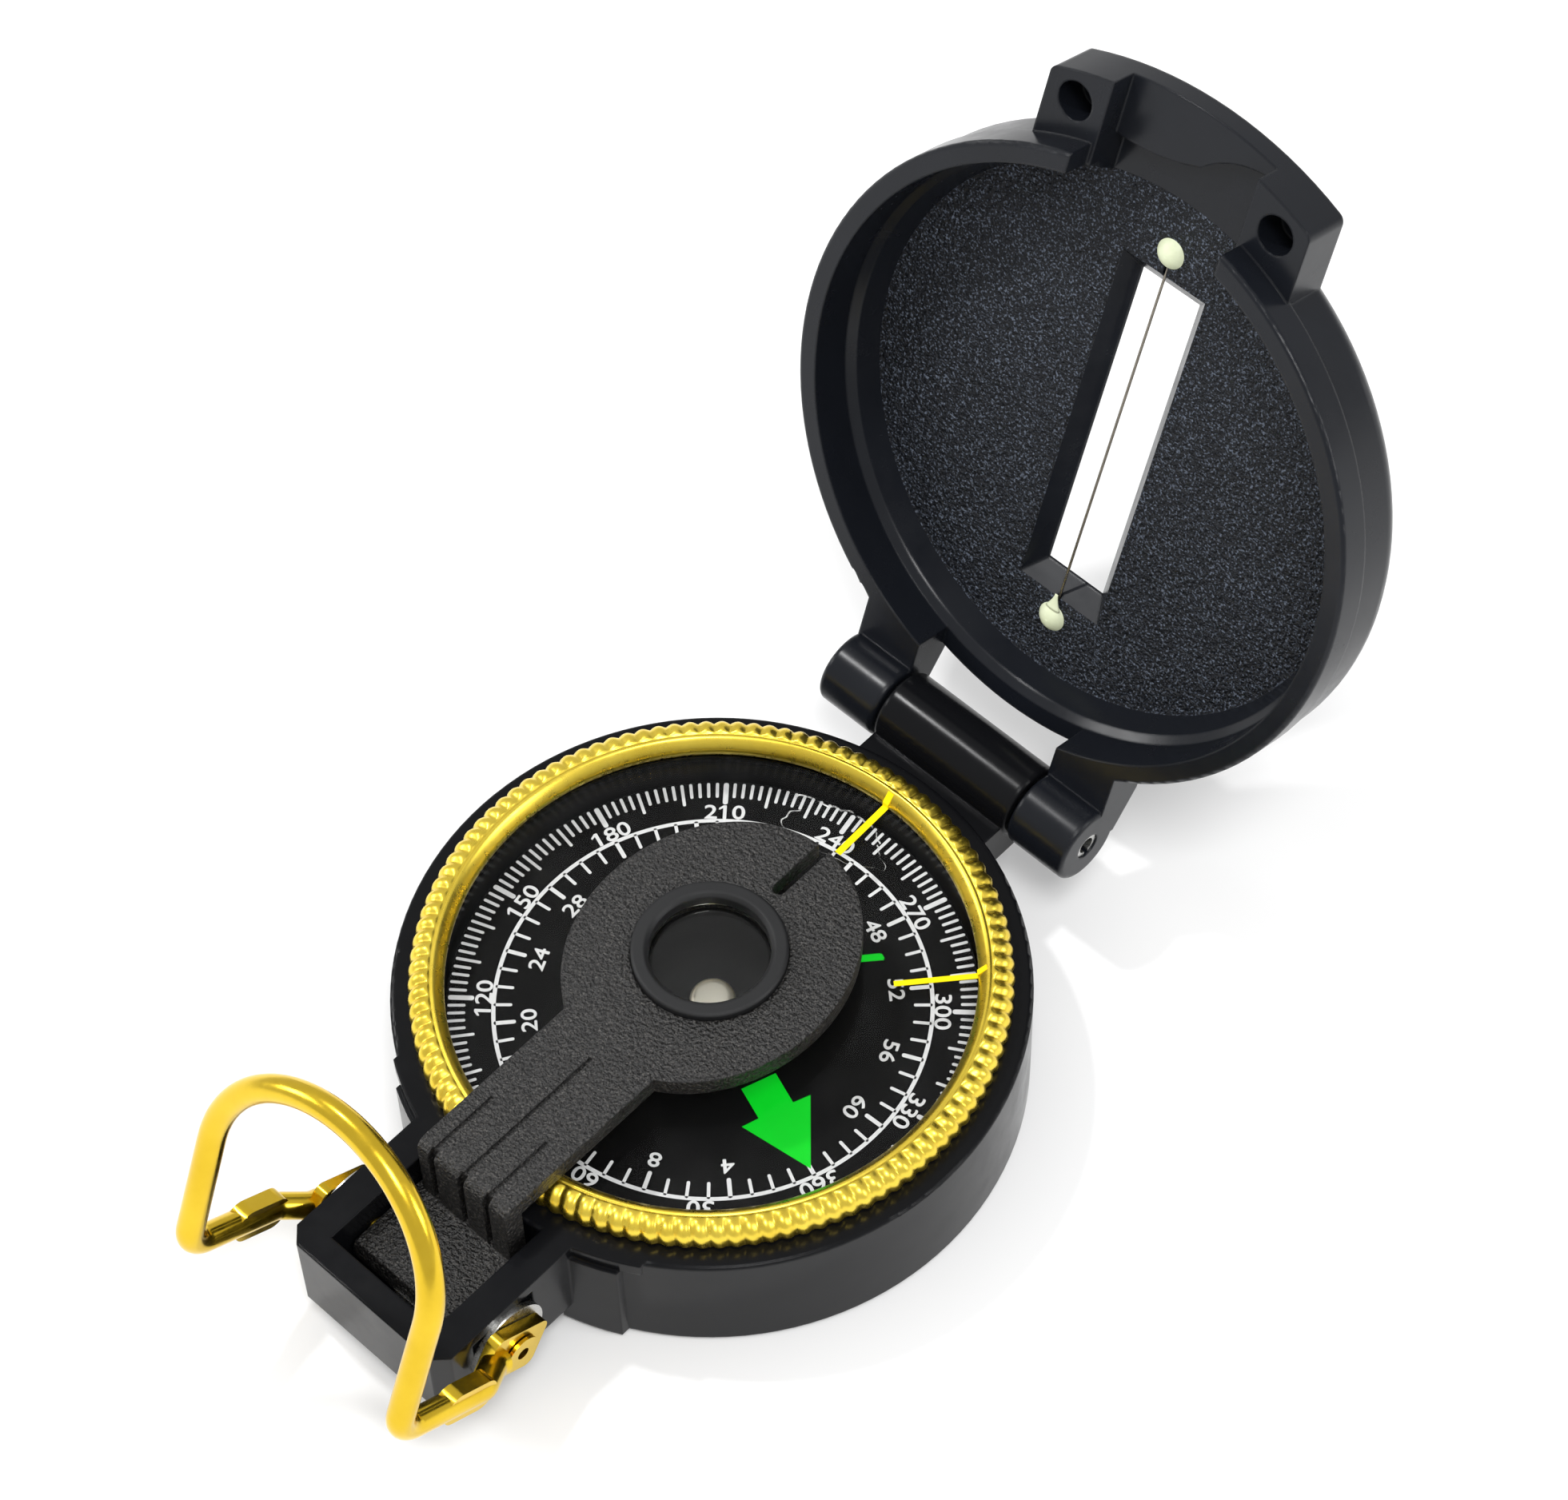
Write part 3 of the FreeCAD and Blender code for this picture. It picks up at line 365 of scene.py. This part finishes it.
finishes = {
    "case_plastic": mouldedPlastic("casePlastic", casePlasticLook),
    "lid_plastic": lidPlastic("lidPlastic", lidLook),
    "eyepiece_plastic": erodedPlastic("eyepiecePlastic", erodedLook),
    "collar_plastic": mouldedPlastic("collarPlastic", collarPlasticLook),
    "cup_plastic": mouldedPlastic("cupPlastic", cupPlasticLook),
    "gasket_rubber": mouldedPlastic("gasketRubber", rubberLook),
    "card_plastic": printedInk("cardBlack", cardInkLook),
    "gold_anodised": brightMetal("goldAnodised", goldRingLook),
    "gold_wire": brightMetal("goldWire", goldWireLook),
    "spring_steel": brightMetal("springSteel", steelLook),
    "bright_steel": brightMetal("brightSteel", steelLook),
    "magnet_steel": brightMetal("magnetSteel", darkSteelLook),
    "wire_steel": brightMetal("wireSteel", wireSteelLook),
    "pivot_brass": brightMetal("pivotBrass", brassLook),
    "clear_plastic": clearSheet("clearPane", paneLook),
    "clear_liquid": clearSheet("clearLiquid", liquidLook),
    "clear_lens": clearLens("clearLens", lensLook),
    "yellow_line": printedInk("yellowLine", yellowInkLook),
    "glow_compound": printedInk("glowCompound", glowInkLook),
}

for part in frame["record"]["subparts"]:
    node = frame["nodes"][part["node"]]
    for slot in node.material_slots:
        slot.material = finishes[part["material_slot"]]
print("finishes given to every node:", len(finishes))


# making pieces
def finishPiece(name, shape, finish, body):
    mesh = bpy.data.meshes.new(name)
    shape.to_mesh(mesh)
    shape.free()
    piece = bpy.data.objects.new(name, mesh)
    bpy.context.scene.collection.objects.link(piece)
    mesh.materials.append(finish)
    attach(piece, body)
    return piece


whiteInk = printedInk("whiteInk", whiteInkLook)
greenInk = printedInk("greenInk", greenInkLook)


# printed dial
dial = {
    "north": -19.3,            # world angle of the card's north at rest
    "height": 9.012, "inkLayer": 0.001, "arrowLayer": 0.006,
    # the flag of a figure one, in figure sizes
    "flag": (0.15, 0.13), "flagStroke": 0.075, "flagSpread": 1.35,
    "degreeOuter": 22.64, "minorInner": 21.09, "tenInner": 20.39,
    "thinStroke": 0.28, "thickStroke": 0.46, "strokeRound": 0.42,
    "degreeFigures": 19.5, "degreeFigureSize": 2.0,
    "milCircle": 18.7, "milStroke": 0.36, "milInner": 17.1, "milFourInner": 16.8,
    "milThin": 0.29, "milThick": 0.38,
    "milFigures": 15.6, "milFigureSize": 1.9, "figureWiden": 1.22, "figureWeight": 0.035,
    "arrowRoot": 8.45, "arrowBarb": 11.65, "arrowTip": 17.96, "arrowShaft": 1.63, "arrowHead": 3.25,
    "arrowSweep": 0.05,
    "letterCentre": 12.9, "letterSize": 5.4, "letterWeight": 0.12,
    "peakHalf": 1.1, "peakFoot": 0.2, "peakDrop": 0.3,    # the middle peak of the W
}


def bearingAngle(bearing):
    return math.radians(dial["north"] - bearing)


def addStrokes(shape, bearings, inner, outer, width, repeats):
    before = set(shape.verts)
    for bearing in bearings:
        turn = Matrix.Rotation(bearingAngle(bearing), 4, "Z")
        size = Matrix.Diagonal(((outer - inner) * mm, width * mm, 1, 1))
        shift = Matrix.Translation(Vector(((outer + inner) / 2 * mm, 0, dial["height"] * mm)))
        made = bmesh.ops.create_grid(shape, x_segments=1, y_segments=1, size=0.5,
                                     matrix=turn @ shift @ size)
        bmesh.ops.bevel(shape, geom=made["verts"], offset=width * dial["strokeRound"] * mm,
                        offset_type="OFFSET", segments=2, profile=0.5, affect="VERTICES", material=-1)
    verts = [v for v in shape.verts if v not in before]
    faces = {f for v in verts for f in v.link_faces}
    edges = {e for v in verts for e in v.link_edges}
    bmesh.ops.spin(shape, geom=verts + list(edges) + list(faces), cent=(0, 0, 0), axis=(0, 0, 1),
                   dvec=(0, 0, 0), angle=2 * math.pi * (repeats - 1) / repeats, steps=repeats - 1,
                   use_duplicate=True)


def addFlags(mesh, size):
    # each figure one is a bare bar in the font: give it its flag
    shape = bmesh.new()
    shape.from_mesh(mesh)
    seen = set()
    bars = []
    for point in list(shape.verts):
        if point in seen:
            continue
        island = {point}
        edge = [point]
        while edge:
            for link in edge.pop().link_edges:
                for other in link.verts:
                    if other not in island:
                        island.add(other)
                        edge.append(other)
        seen |= island
        if len(island) == 4:
            bars.append(island)
    for bar in bars:
        left = min(v.co.x for v in bar)
        top = max(v.co.y for v in bar)
        reach, fall = dial["flag"]
        stroke = dial["flagStroke"] * size
        tip = left - reach * size
        foot = top - fall * size
        inner = top - stroke * dial["flagSpread"]
        outline = ((left, top), (left, inner), (tip, foot - stroke), (tip, foot))
        shape.faces.new([shape.verts.new((x, y, 0)) for x, y in outline])
    shape.to_mesh(mesh)
    shape.free()


def addText(shape, text, size, radius, bearing, widen=1.0, weight=0.0):
    curve = bpy.data.curves.new("figure", "FONT")
    curve.body = text
    curve.size = size * mm
    curve.align_x = "CENTER"
    curve.align_y = "CENTER"
    curve.resolution_u = 4
    holder = bpy.data.objects.new("figure", curve)
    bpy.context.scene.collection.objects.link(holder)
    bpy.context.view_layer.update()
    mesh = bpy.data.meshes.new_from_object(holder)
    if text == "W":
        for point in mesh.vertices:      # its middle peak stops short of the top
            if abs(point.co.x) < dial["peakHalf"] * mm and point.co.y > dial["peakFoot"] * mm:
                point.co.y *= dial["peakDrop"]
    angle = bearingAngle(bearing)
    turn = Matrix.Rotation(angle - math.pi / 2, 4, "Z")
    shift = Matrix.Translation(Vector((radius * mm * math.cos(angle), radius * mm * math.sin(angle),
                                       dial["height"] * mm)))
    if "1" in text:
        addFlags(mesh, size * mm)
    mesh.transform(Matrix.Diagonal((widen, 1, 1, 1)))
    previous = Vector((0, 0, 0))
    for step, way in enumerate(((0, 0), (1, 0), (-1, 0), (0, 1), (0, -1))):
        place = Vector((way[0] * weight, way[1] * weight, step * dial["inkLayer"])) * mm
        mesh.transform(Matrix.Translation(place - previous))
        previous = place
        layer = mesh.copy()
        layer.transform(shift @ turn)
        shape.from_mesh(layer)
        bpy.data.meshes.remove(layer)
        if not weight:
            break
    bpy.data.objects.remove(holder)
    bpy.data.curves.remove(curve)
    bpy.data.meshes.remove(mesh)


def printDial():
    ink = bmesh.new()
    addStrokes(ink, (2, 4, 6, 8), dial["minorInner"], dial["degreeOuter"], dial["thinStroke"], 36)
    addStrokes(ink, (10, 20), dial["tenInner"], dial["degreeOuter"], dial["thinStroke"], 12)
    addStrokes(ink, (0,), dial["tenInner"], dial["degreeOuter"], dial["thickStroke"], 12)
    step = 360 / 64
    addStrokes(ink, (step, 2 * step, 3 * step), dial["milInner"], dial["milCircle"],
               dial["milThin"], 16)
    addStrokes(ink, (0,), dial["milFourInner"], dial["milCircle"], dial["milThick"], 16)
    rings = []
    for side in (-0.5, 0.5):
        radius = dial["milCircle"] + side * dial["milStroke"]
        made = bmesh.ops.create_circle(ink, segments=192, radius=radius * mm,
                                       matrix=Matrix.Translation(Vector((0, 0, dial["height"] * mm))))
        rings += list({e for v in made["verts"] for e in v.link_edges})
    bmesh.ops.bridge_loops(ink, edges=rings)
    for bearing in range(30, 361, 30):
        addText(ink, str(bearing), dial["degreeFigureSize"], dial["degreeFigures"], bearing,
                dial["figureWiden"], dial["figureWeight"])
    for number in range(4, 61, 4):
        addText(ink, str(number), dial["milFigureSize"], dial["milFigures"], number * step,
                dial["figureWiden"], dial["figureWeight"])
    turnUp(ink)
    finishPiece("dialScales", ink, whiteInk, "card")


def turnUp(shape):
    # every flat face looks up
    shape.normal_update()
    down = [f for f in shape.faces if f.normal.z < 0]
    bmesh.ops.reverse_faces(shape, faces=down)


def printArrow():
    ink = bmesh.new()
    shaft, head = dial["arrowShaft"], dial["arrowHead"]
    root, barb, tip = dial["arrowRoot"], dial["arrowBarb"], dial["arrowTip"]
    wing = barb + dial["arrowSweep"]
    outline = [(root, -shaft), (barb, -shaft), (wing, -head), (tip, 0), (wing, head), (barb, shaft),
               (root, shaft)]
    turn = Matrix.Rotation(bearingAngle(0), 4, "Z")
    height = dial["height"] + dial["arrowLayer"]
    corners = [ink.verts.new(turn @ Vector((r * mm, t * mm, height * mm))) for r, t in outline]
    ink.faces.new(corners)
    for letter, bearing in (("E", 90), ("S", 180), ("W", 270)):
        addText(ink, letter, dial["letterSize"], dial["letterCentre"], bearing,
                weight=dial["letterWeight"])
    turnUp(ink)
    finishPiece("dialArrow", ink, greenInk, "card")


printDial()
printArrow()
print("dial printed")


# bezel ring
bezel = {
    # outline of the ring from the foot of its skirt, up the grip, over the crest and down to the pane
    "outline": (
        (24.10, 9.52), (24.93, 9.52), (24.95, 12.88), (25.22, 12.90), (25.42, 13.00), (25.55, 13.22),
        (25.59, 13.60), (25.58, 14.00), (25.50, 14.36), (25.34, 14.70), (25.10, 14.98), (24.80, 15.20),
        (24.48, 15.33), (24.16, 15.38), (23.90, 15.36), (23.74, 15.28), (23.66, 15.18), (23.60, 15.19),
        (23.52, 15.25), (23.40, 15.26), (23.26, 15.18), (23.08, 15.00), (22.88, 14.76), (22.70, 14.52),
        (22.56, 14.32), (22.50, 14.14), (22.50, 13.77), (23.44, 13.77), (23.44, 12.88), (24.10, 12.88),
    ),
    "ribs": 112, "samples": 10, "ribDepth": 0.27, "ribStart": 23.70, "ribFull": 24.10, "ribFoot": 12.95,
    "core": (24.1, 13.7), "slant": 0.4, "middle": 14.0,
    "index": 91.7, "dimple": 0.24, "dimpleRadius": 23.95, "dimpleWidth": 0.34, "dimpleReach": 0.36,
}


def addBezel():
    shape = bmesh.new()
    points = [shape.verts.new((r * mm, 0, z * mm)) for r, z in bezel["outline"]]
    edges = [shape.edges.new((a, b)) for a, b in zip(points, points[1:] + points[:1])]
    bmesh.ops.spin(shape, geom=points + edges, cent=(0, 0, 0), axis=(0, 0, 1), dvec=(0, 0, 0),
                   angle=2 * math.pi, steps=bezel["ribs"] * bezel["samples"], use_merge=True)
    bmesh.ops.remove_doubles(shape, verts=shape.verts, dist=1e-6)
    bmesh.ops.recalc_face_normals(shape, faces=shape.faces)
    coreRadius, coreHeight = bezel["core"]
    for point in shape.verts:
        radius = math.hypot(point.co.x, point.co.y) / mm
        height = point.co.z / mm
        angle = math.atan2(point.co.y, point.co.x)
        outward = Vector((radius - coreRadius, height - coreHeight)).normalized()
        cut = 0.0
        if radius > bezel["ribStart"] and height > bezel["ribFoot"]:
            fade = min(1.0, (radius - bezel["ribStart"]) / (bezel["ribFull"] - bezel["ribStart"]))
            lean = math.radians((height - bezel["middle"]) * bezel["slant"])
            rib = abs(math.cos(bezel["ribs"] / 2 * (angle + lean)))
            cut = bezel["ribDepth"] * fade * (1 - rib)
        aside = abs(math.degrees(angle) - bezel["index"]) * math.radians(1) * radius
        ahead = radius - bezel["dimpleRadius"]
        notch = math.exp(-(aside / bezel["dimpleWidth"]) ** 2 - (ahead / bezel["dimpleReach"]) ** 2)
        if height > bezel["middle"]:
            cut += bezel["dimple"] * notch
        radius -= cut * outward.x
        height -= cut * outward.y
        point.co = Vector((radius * math.cos(angle), radius * math.sin(angle), height)) * mm
    for face in shape.faces:
        face.smooth = True
    piece = finishPiece("bezelRing", shape, finishes["gold_anodised"], "bezel")
    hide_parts("bezel_ring")


addBezel()
print("bezel ring made")


# air bubble in the liquid, its outline drawn as a painted highlight: a whitish, glowing rim
bubble = {
    "bearing": 243.0, "radius": 18.9, "height": 12.2, "across": 2.3, "along": 5.0, "ripple": 0.6,
    "rim": 0.11, "segments": 144, "colors": ((0.55, 0.56, 0.55), (0.92, 0.93, 0.92)), "roughness": 0.15,
    "paintedGlow": 0.25, "paintedGlowColor": (0.8, 0.8, 0.78), "streakScale": 900.0, "streakEdge": (0.38, 0.62),
    "cover": 0.85, "seed": (3.1, 0.4, 0.7), "swellScale": 1.3, "frayScale": 5.0, "fray": 0.12,
}


def bubbleEdge(name):
    material, tree, shader, place = startMaterial(name)
    # the rim's whitish colour and glow are a painted highlight along the bubble's edge
    streak = addNoise(tree, place, bubble["streakScale"], 4.0, 0.6)
    cover = addRange(tree, streak, 0.0, bubble["cover"], *bubble["streakEdge"])
    tree.links.new(cover, shader.inputs["Alpha"])
    tree.links.new(addBlend(tree, streak, *bubble["colors"]), shader.inputs["Base Color"])
    shader.inputs["Roughness"].default_value = bubble["roughness"]
    shader.inputs["Emission Color"].default_value = (*bubble["paintedGlowColor"], 1.0)
    shader.inputs["Emission Strength"].default_value = bubble["paintedGlow"]
    return material


def addBubble():
    shape = bmesh.new()
    rings = []
    for inset in (0.0, bubble["rim"]):
        made = bmesh.ops.create_circle(shape, segments=bubble["segments"], radius=1.0)
        for point in made["verts"]:
            way = point.co.normalized()
            place = way * bubble["swellScale"] + Vector(bubble["seed"])
            swell = 1 + bubble["ripple"] * noise.noise(place)
            swell += bubble["fray"] * noise.noise(way * bubble["frayScale"])
            edge = Vector((way.x * bubble["across"] * swell, way.y * bubble["along"] * swell, 0))
            point.co = (edge - way * inset - Vector((0, 0, inset))) * mm
        rings += list({e for v in made["verts"] for e in v.link_edges})
    bmesh.ops.bridge_loops(shape, edges=rings)
    turnUp(shape)
    angle = bearingAngle(bubble["bearing"])
    turn = Matrix.Rotation(angle, 4, "Z")
    shift = Matrix.Translation(Vector((bubble["radius"] * mm, 0, bubble["height"] * mm)))
    bmesh.ops.transform(shape, matrix=turn @ shift, verts=shape.verts)
    finishPiece("airBubble", shape, bubbleEdge("bubbleEdge"), "case")


addBubble()
print("bubble added")


# tail of glue on the lower drop
lid = {"hinge": (31.92, 12.31), "open": 109.2, "floor": 19.7}
glueTail = {
    "start": 18.5, "end": 16.9, "width": 0.62, "tip": 0.16, "rise": 0.42, "skin": 0.12, "droop": 0.28,
    "taper": 1.6, "fall": 1.2, "segments": 20, "rings": 7,
}


def lidPoint(across, along, height):
    # a point of the shut lid, turned with it to where it stands open
    hingeY, hingeZ = lid["hinge"]
    turn = math.radians(-lid["open"])
    reach, lift = along - hingeY, height - hingeZ
    return Vector((across, hingeY + reach * math.cos(turn) - lift * math.sin(turn),
                   hingeZ + reach * math.sin(turn) + lift * math.cos(turn))) * mm


def addGlueTail():
    shape = bmesh.new()
    bmesh.ops.create_cone(shape, cap_ends=True, segments=glueTail["segments"], radius1=0.5, radius2=0.5,
                          depth=1.0)
    sides = [e for e in shape.edges if abs(e.verts[0].co.z - e.verts[1].co.z) > 0.5]
    bmesh.ops.subdivide_edges(shape, edges=sides, cuts=glueTail["rings"])
    for point in shape.verts:
        part = point.co.z + 0.5
        width = glueTail["width"] * (1 - part) ** glueTail["taper"] + glueTail["tip"]
        along = glueTail["start"] + (glueTail["end"] - glueTail["start"]) * part
        lift = glueTail["rise"] * (1 - part) ** glueTail["fall"] + glueTail["skin"]
        height = lid["floor"] - lift * (point.co.y + 0.5) - glueTail["droop"] * part
        point.co = lidPoint(point.co.x * 2 * width, along, height)
    bmesh.ops.remove_doubles(shape, verts=shape.verts, dist=1e-7)
    bmesh.ops.recalc_face_normals(shape, faces=shape.faces)
    for face in shape.faces:
        face.smooth = True
    finishPiece("glueTail", shape, finishes["glow_compound"], "lid")


addGlueTail()
print("glue tail added")


# liquid under the capsule's window
liquidFill = {"radius": 23.15, "bottom": 2.75, "top": 12.6, "edge": 0.25}


def addLiquid():
    # one clear body for the window and what is under it, because no light turns between the two
    shape = bmesh.new()
    depth = liquidFill["top"] - liquidFill["bottom"]
    middle = (liquidFill["top"] + liquidFill["bottom"]) / 2
    bmesh.ops.create_cone(shape, cap_ends=True, segments=128, radius1=liquidFill["radius"] * mm,
                          radius2=liquidFill["radius"] * mm, depth=depth * mm,
                          matrix=Matrix.Translation(Vector((0, 0, middle * mm))))
    rims = [e for e in shape.edges if abs(e.verts[0].co.z - e.verts[1].co.z) < 1e-6]
    bmesh.ops.bevel(shape, geom=rims, offset=liquidFill["edge"] * mm, segments=3, profile=0.5,
                    affect="EDGES", material=-1)
    piece = finishPiece("windowAndLiquid", shape, finishes["clear_liquid"], "case")
    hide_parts("damping_liquid", "capsule_window")


addLiquid()
print("liquid added")


# stage
stageLook = {
    "floorSize": 3.0, "floorHeight": -0.05, "floorColor": (0.90, 0.90, 0.90), "shade": 0.985,
    "worldColor": (1.0, 1.0, 1.0), "worldStrength": 0.72,
}
lamps = [
    # name, place, aimed at, size, power
    ("overheadSoftbox", (0.45, -0.30, 1.20), (0, 0.01, 0.02), 0.35, 8.0),
    ("leftSoftbox", (-1.00, -0.55, 0.60), (0, 0.01, 0.02), 0.35, 4.5),
    ("rightSoftbox", (0.95, 0.45, 0.60), (0, 0.01, 0.02), 0.35, 3.5),
    ("hingeStrip", (-0.16, -0.03, 0.37), (0, 0.032, 0.012), 0.02, 0.42),
]


def addStage():
    shape = bmesh.new()
    bmesh.ops.create_grid(shape, x_segments=8, y_segments=8, size=stageLook["floorSize"],
                          matrix=Matrix.Translation(Vector((0, 0, stageLook["floorHeight"] * mm))))
    mesh = bpy.data.meshes.new("floor")
    shape.to_mesh(mesh)
    shape.free()
    floor = bpy.data.objects.new("floor", mesh)
    bpy.context.scene.collection.objects.link(floor)
    material, tree, shader, place = startMaterial("paleFloor")
    paper = addNoise(tree, place, 40.0, 5.0)
    color = stageLook["floorColor"]
    shade = tuple(c * stageLook["shade"] for c in color)
    tree.links.new(addBlend(tree, paper, shade, color), shader.inputs["Base Color"])
    shader.inputs["Roughness"].default_value = 0.9
    mesh.materials.append(material)


def addLamps():
    for name, place, aim, size, power in lamps:
        data = bpy.data.lights.new(name, "AREA")
        data.energy = power
        data.size = size
        lamp = bpy.data.objects.new(name, data)
        bpy.context.scene.collection.objects.link(lamp)
        lamp.location = place
        lamp.rotation_euler = (Vector(place) - Vector(aim)).to_track_quat("Z", "Y").to_euler()
    world = bpy.data.worlds.new("studio")
    world.use_nodes = True
    sky = world.node_tree.nodes["Background"]
    sky.inputs["Color"].default_value = (*stageLook["worldColor"], 1.0)
    sky.inputs["Strength"].default_value = stageLook["worldStrength"]
    bpy.context.scene.world = world
    bpy.context.scene.view_settings.view_transform = "Standard"


addStage()
addLamps()
print("stage and lamps set")
